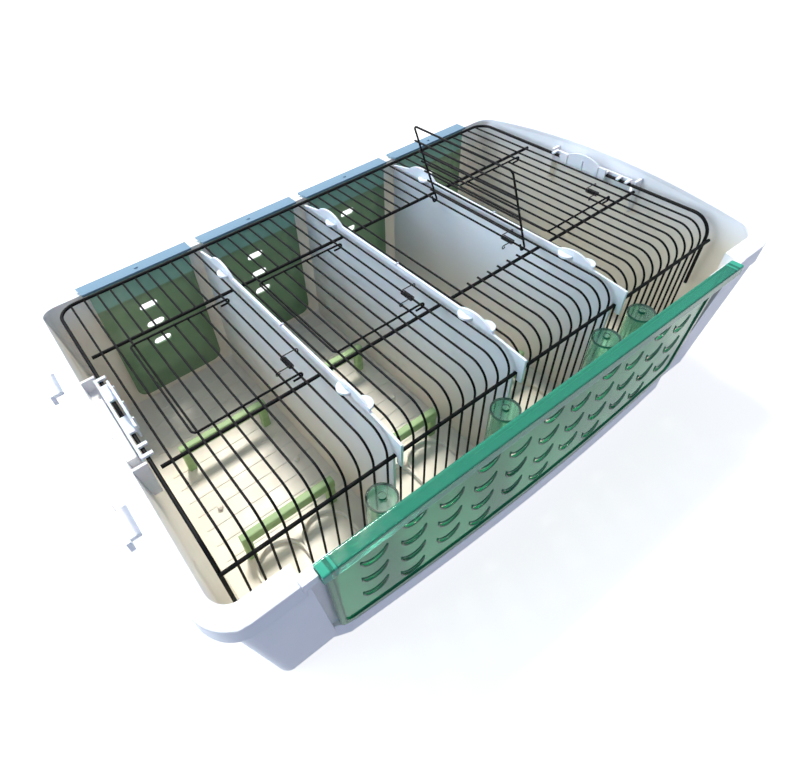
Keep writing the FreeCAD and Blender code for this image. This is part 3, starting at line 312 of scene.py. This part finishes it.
# Painted light by height: beige low down for the warm light the floor throws back, bluish higher up for
# the sky's shade.
painted_bounce_and_sky = frosted.blend(frosted.ramp(frosted.axis("Z"), 0.02, 0.11), (0.88, 0.85, 0.77), (0.83, 0.89, 0.96))
frosted.colour(frosted.blend(frosted.ramp(frosted.noise(16.0, 5.0), 0.45, 0.8, 0.0, 0.25), painted_bounce_and_sky,
                             (0.80, 0.78, 0.72)))
frosted.roughness(frosted.ramp(frosted.noise(45.0, 4.0, (1.0, 0.3, 1.0)), 0.3, 0.7, 0.40, 0.56))
frosted.relief(frosted.noise(900.0, 2.0), 0.0001, 0.3, edge=0.0006)
print("frosted plastic:", len(frosted.tree.nodes), "nodes")

# %% [markdown]
# ## Clear green plastic
# The flap, the rear panels and the drinkers are moulded in see-through green. Most light passes and
# is tinted on the way. Faint flow lines from the moulding and a few rubbed patches keep it from
# looking like perfect glass.

# %% The clear green finish
def clear_green(name, deep_tint, pale_tint, clearness, shine=0.5):
    """See-through green that flows between two tints; returns the finish and its flowing colour."""
    green = Finish(name)
    green.fixed(Transmission_Weight=clearness, IOR=1.49, Specular_IOR_Level=shine)
    flow = green.noise(14.0, 4.0, (0.4, 1.0, 1.6))
    tint = green.blend(green.ramp(flow, 0.3, 0.7), deep_tint, pale_tint)
    green.colour(tint)
    green.roughness(green.ramp(green.noise(70.0, 5.0), 0.4, 0.8, 0.08, 0.24))
    green.relief(green.noise(120.0, 3.0), 0.0003, 0.15)
    return green, tint

print("clear green ready")

# %% [markdown]
# ## The flap's green
# At the flap's rim and at the step of its border one looks through more plastic, so both are darker
# than the face. Thicker geometry could show that, but it would need many bounces of light. Instead a
# mask measures how far each point lies from the edge and draws the two dark lines as painted shade.
# The roll along the top is thicker plastic too, so it has a deeper green.

# %% The flap's and the louvres' finishes
FLAP_CLEARNESS = 0.6
EDGE_SHADE_CLEARNESS = 0.05
FLAP_SHINE = 0.2
EDGE_SHADE_GREEN = (0.025, 0.18, 0.09)
ROLL_GREEN = (0.05, 0.37, 0.25)
ROLL_FOOT = 0.1395
FACE_FOOT = 0.022
FACE_HALF = 0.2035
FACE_FLARE = 0.0502
BORDER = 0.005
SOFT_STEP = 0.0008

flap_green, flap_tint = clear_green("flap_green", (0.025, 0.44, 0.19), (0.05, 0.54, 0.25),
                                    FLAP_CLEARNESS, FLAP_SHINE)
up = flap_green.axis("Z")
foot_way = flap_green.math("SUBTRACT", up, FACE_FOOT)
half_here = flap_green.math("MULTIPLY_ADD", foot_way, FACE_FLARE)
half_here.node.inputs[2].default_value = FACE_HALF
end_way = flap_green.math("SUBTRACT", half_here, flap_green.math("ABSOLUTE", flap_green.axis("X"), 0.0))
edge_way = flap_green.math("MINIMUM", foot_way, end_way)
to_line = flap_green.math("ABSOLUTE", flap_green.math("SUBTRACT", edge_way, BORDER), 0.0)
# The two dark lines at the rim and at the border's step are painted shade.
painted_edge_shade = flap_green.math("MAXIMUM", flap_green.ramp(to_line, 0.0011, 0.0006),
                            flap_green.ramp(edge_way, 0.0016, 0.0009))
face_tint = flap_green.blend(painted_edge_shade, flap_tint, EDGE_SHADE_GREEN)
rolled = flap_green.ramp(up, ROLL_FOOT, ROLL_FOOT + SOFT_STEP)
flap_green.colour(flap_green.blend(rolled, face_tint, ROLL_GREEN))
flap_green.link(flap_green.ramp(painted_edge_shade, 0.0, 1.0, FLAP_CLEARNESS, EDGE_SHADE_CLEARNESS),
                flap_green.shader.inputs["Transmission Weight"])
# The lips' dark green is painted shade, for the dark outline at a slot's edge.
louvre_shade_green, _ = clear_green("louvre_shade_green", (0.02, 0.13, 0.07), (0.04, 0.20, 0.11), 0.25)
print("flap green:", len(flap_green.tree.nodes), "nodes")

# %% [markdown]
# ## The rear panels' green
# A panel is painted dark where the port is behind it, as painted shade, paler where the white wall is,
# as painted light, and blue on the lip, as a painted reflection of the open sky. Three bands by height
# give that.

# %% The panels' finish
PORT_TOP = 0.1295
PORT_BLUR = 0.001
LIP_FOOT = 0.1508
PAINTED_WALL_LIGHT = (0.28, 0.55, 0.45)
PAINTED_SKY_BLUE = (0.24, 0.38, 0.50)

# The panel's deep olive tints are painted shade, for the dark port behind it.
panel_green, port_shade_tint = clear_green("panel_green", (0.17, 0.29, 0.155), (0.24, 0.36, 0.21), 0.22)
# Above the port the panel gets painted light, and on the lip a painted reflection of the sky.
above_port = panel_green.ramp(panel_green.axis("Z"), PORT_TOP - PORT_BLUR, PORT_TOP + PORT_BLUR)
upper_tint = panel_green.blend(above_port, port_shade_tint, PAINTED_WALL_LIGHT)
on_lip = panel_green.ramp(panel_green.axis("Z"), LIP_FOOT, LIP_FOOT + SOFT_STEP)
panel_green.colour(panel_green.blend(on_lip, upper_tint, PAINTED_SKY_BLUE))
print("panel green:", len(panel_green.tree.nodes), "nodes")

# %% [markdown]
# ## The drinkers' green
# The tubes are much clearer and paler than the flap. Their closed upper end shows a dark ring where
# one looks along the wall; a mask by height and by the surface's direction paints that ring as
# painted shade.

# %% The drinkers' finish
TUBE_CLEARNESS = 0.94
RIM_SHADE_CLEARNESS = 0.1
RIM_SHADE_GREEN = (0.02, 0.16, 0.10)
TUBE_TOP = 0.1165
RING_FROM, RING_FULL = TUBE_TOP - 0.0024, TUBE_TOP - 0.0016

drinker_green, drinker_tint = clear_green("drinker_green", (0.52, 0.90, 0.75), (0.64, 0.94, 0.82),
                                          TUBE_CLEARNESS)
sideways = drinker_green.node("ShaderNodeSeparateXYZ")
surface = drinker_green.node("ShaderNodeNewGeometry")
drinker_green.link(surface.outputs["Normal"], sideways.inputs["Vector"])
# The dark ring at the tube's upper end is painted shade.
painted_rim_shade = drinker_green.math("MULTIPLY", drinker_green.ramp(sideways.outputs["Z"], 0.8, 0.5),
                               drinker_green.ramp(drinker_green.axis("Z"), RING_FROM, RING_FULL))
drinker_green.colour(drinker_green.blend(painted_rim_shade, drinker_tint, RIM_SHADE_GREEN))
drinker_green.link(drinker_green.ramp(painted_rim_shade, 0.0, 1.0, TUBE_CLEARNESS, RIM_SHADE_CLEARNESS),
                   drinker_green.shader.inputs["Transmission Weight"])
print("drinker green:", len(drinker_green.tree.nodes), "nodes")

# %% [markdown]
# ## Black wire, spring steel and perch plastic
# The grille is dipped in satin black paint that is thin on top of the wires, and here and there the
# steel shows through. The door springs are dark oiled steel. The perches are opaque olive green with
# a fine grain for the birds' feet.

# %% Finishes of the wires, the springs and the perches
wire_black = Finish("wire_black")
wire_black.fixed(Specular_IOR_Level=0.16)
chips = wire_black.ramp(wire_black.noise(420.0, 3.0), 0.70, 0.74)
wire_black.colour(wire_black.blend(chips, (0.004, 0.004, 0.0045), (0.035, 0.032, 0.03)))
wire_black.roughness(wire_black.ramp(wire_black.noise(160.0, 3.0), 0.3, 0.7, 0.50, 0.66))
wire_black.relief(wire_black.noise(500.0, 3.0), 0.0001, 0.3)

spring_dark = Finish("spring_dark_steel")
spring_dark.fixed(Metallic=1.0)
oil = spring_dark.noise(900.0, 3.0)
spring_dark.colour(spring_dark.blend(spring_dark.ramp(oil, 0.35, 0.7),
                                     (0.015, 0.015, 0.017), (0.06, 0.058, 0.056)))
spring_dark.roughness(spring_dark.ramp(spring_dark.noise(300.0, 3.0), 0.3, 0.7, 0.28, 0.5))

perch_olive = Finish("perch_olive")
perch_olive.fixed(Specular_IOR_Level=0.4, Subsurface_Weight=0.05, Subsurface_Scale=0.002)
grain = perch_olive.noise(220.0, 4.0, (0.15, 1.0, 1.0))
perch_olive.colour(perch_olive.blend(perch_olive.ramp(grain, 0.3, 0.7),
                                     (0.30, 0.46, 0.20), (0.40, 0.56, 0.28)))
perch_olive.roughness(perch_olive.ramp(grain, 0.3, 0.7, 0.42, 0.6))
perch_olive.relief(grain, 0.00025, 0.5, edge=0.0008)
print("wire, spring and perch finishes ready")

# %% [markdown]
# ## Dressing the model's own pieces
# A piece of the model whose shape is right only needs its finish. The first word of its name says
# what it is, so one short list is enough.

# %% Give every piece its finish
FINISH_OF = [
    ("basin", white), ("grille_clip", frosted), ("grille", wire_black), ("divider", frosted),
    ("door_spring", spring_dark), ("door", wire_black), ("front_flap", flap_green),
    ("rear_panel", panel_green), ("drinker", drinker_green),
    ("rear_perch", perch_olive), ("front_perch", perch_olive),
]
for name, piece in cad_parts.items():
    finish = next(made for start, made in FINISH_OF if name.startswith(start))
    piece.data.materials.clear()
    piece.data.materials.append(finish.material)
print("dressed", len(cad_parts), "pieces")

# %% [markdown]
# ## Ribs across the cabin floors
# Low ribs run across the floor of every cabin, so that the birds' feet find a grip and the floor
# dries. They are too fine for the solid model. Each one is a long bar with its two upper edges
# rounded off, sunk a little into the floor, and one mesh holds all the ribs of a cabin.

# %% Make the ribs of the four cabins
FLOOR_TOP = 4.0 * MM
RIB_PITCH = 18.0 * MM
RIB_WIDTH = 1.5 * MM
RIB_HEIGHT = 0.4 * MM
RIB_SINK = 0.3 * MM
RIB_ROUNDING = 0.6
RIB_BACK = 144.0 * MM
RIB_FRONT = -55.0 * MM
CABINS = [(-246.0, -123.0), (-117.0, -3.0), (3.0, 117.0), (123.0, 246.0)]

def shown(name, mesh, finish):
    """An object of the scene with this bmesh and one finish."""
    data = bpy.data.meshes.new(name)
    mesh.to_mesh(data)
    mesh.free()
    piece = bpy.data.objects.new(name, data)
    scene.collection.objects.link(piece)
    data.materials.append(finish.material)
    return piece

def cabin_ribs(left, right):
    """All the ribs between two walls, as one bmesh of separate closed bars."""
    ribs = bmesh.new()
    lines = int((RIB_BACK - RIB_FRONT) / RIB_PITCH) + 1
    tall = RIB_HEIGHT + RIB_SINK
    for line in range(lines):
        middle = Vector(((left + right) / 2, RIB_BACK - line * RIB_PITCH,
                         FLOOR_TOP - RIB_SINK + tall / 2))
        shape = Matrix.Translation(middle) @ Matrix.Diagonal((right - left, RIB_WIDTH, tall, 1.0))
        bmesh.ops.create_cube(ribs, size=1.0, matrix=shape)
    top = FLOOR_TOP + RIB_HEIGHT / 2
    shoulders = [e for e in ribs.edges if all(v.co.z > top for v in e.verts)
                 and abs(e.verts[0].co.x - e.verts[1].co.x) > RIB_PITCH]
    bmesh.ops.bevel(ribs, geom=shoulders, offset=RIB_HEIGHT * RIB_ROUNDING, segments=2, profile=0.5,
                    affect="EDGES", material=-1)
    return ribs, lines

for number, (left, right) in enumerate(CABINS, start=1):
    ribs, lines = cabin_ribs(left * MM, right * MM)
    piece = shown("floor_ribs_%d" % number, ribs, white)
    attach(piece, "carrier")
print("ribs in each cabin:", lines)

# %% [markdown]
# ## Lips round the louvres
# The flap's slots are crescents, cut between two arcs. A rounded lip runs along both arcs and keeps
# the thin plastic from tearing. Its dark green is painted shade, for the dark outline that a slot's
# edge shows. A lip is a small disc that is spun about the middle of its arc. The flap bows outwards,
# so every slot is laid out in the plane that touches the flap there.

# %% Find the flap's surface at a slot
LOUVRE_COLUMNS = 11
LOUVRE_ROWS = 3
LOUVRE_PITCH = 34.2 * MM
LOUVRE_ROW_PITCH = 25.2 * MM
LOUVRE_TOP = 106.0 * MM
FACE_TOP = 141.5 * MM
FACE_TOP_Y = -170.0 * MM
FACE_FOOT_Y = -172.0 * MM
FACE_BOW = 3100.0 * MM
FIELD_SINK = 1.2 * MM

def slot_frame(x, z):
    """The middle of a slot on the flap's sunk field, and the directions along, through and up it."""
    share = (FACE_TOP - z) / (FACE_TOP - FACE_FOOT)
    foot_y = FACE_FOOT_Y + x * x / (2 * FACE_BOW)
    y = FACE_TOP_Y + (foot_y - FACE_TOP_Y) * share + FIELD_SINK
    slope_x = share * x / FACE_BOW
    slope_z = (FACE_TOP_Y - foot_y) / (FACE_TOP - FACE_FOOT)
    along = Vector((1.0, slope_x, 0.0)).normalized()
    through = Vector((-slope_x, 1.0, -slope_z)).normalized()
    return Vector((x, y, z)), along, through, along.cross(through)

middles = [slot_frame(LOUVRE_PITCH * (column - LOUVRE_COLUMNS // 2),
                      LOUVRE_TOP - LOUVRE_ROW_PITCH * (line + column % 2 / 2))
           for column in range(LOUVRE_COLUMNS)
           for line in range(-(column % 2), LOUVRE_ROWS)]
print("slots:", len(middles))

# %% Spin the lips
LOWER_ARC = (11.0 * MM, 0.0, math.radians(8.6))
UPPER_ARC = (12.4 * MM, 7.6 * MM, math.radians(-28.7))
LIP_RADIUS = 0.7 * MM
LIP_SIDES = 6
LIP_STEPS = 10

def spin_lip(mesh, middle, along, through, upward, arc):
    """A closed round lip from one tip of the crescent to the other, under the middle of its arc."""
    radius, lift, tip = arc
    centre = middle + upward * lift
    outward = along * math.cos(tip) + upward * math.sin(tip)
    onward = upward * math.cos(tip) - along * math.sin(tip)
    plane = Matrix((outward, onward.cross(outward), onward)).transposed().to_4x4()
    plane.translation = centre + outward * radius
    disc = bmesh.ops.create_circle(mesh, cap_ends=True, segments=LIP_SIDES, radius=LIP_RADIUS,
                                   matrix=plane)["verts"]
    faces = list({face for v in disc for face in v.link_faces})
    edges = list({edge for v in disc for edge in v.link_edges})
    bmesh.ops.spin(mesh, geom=disc + edges + faces, cent=centre, axis=through,
                   angle=math.pi + 2 * tip, steps=LIP_STEPS)

lips = bmesh.new()
for middle, along, through, upward in middles:
    for arc in (LOWER_ARC, UPPER_ARC):
        spin_lip(lips, middle, along, through, upward, arc)
bmesh.ops.recalc_face_normals(lips, faces=lips.faces[:])
open_edges = sum(1 for edge in lips.edges if not edge.is_manifold)
for face in lips.faces:
    face.smooth = True
lip_faces = len(lips.faces)
louvre_lips = shown("louvre_lips", lips, louvre_shade_green)
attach(louvre_lips, "front_flap")
print("lip faces:", lip_faces, "open edges:", open_edges)
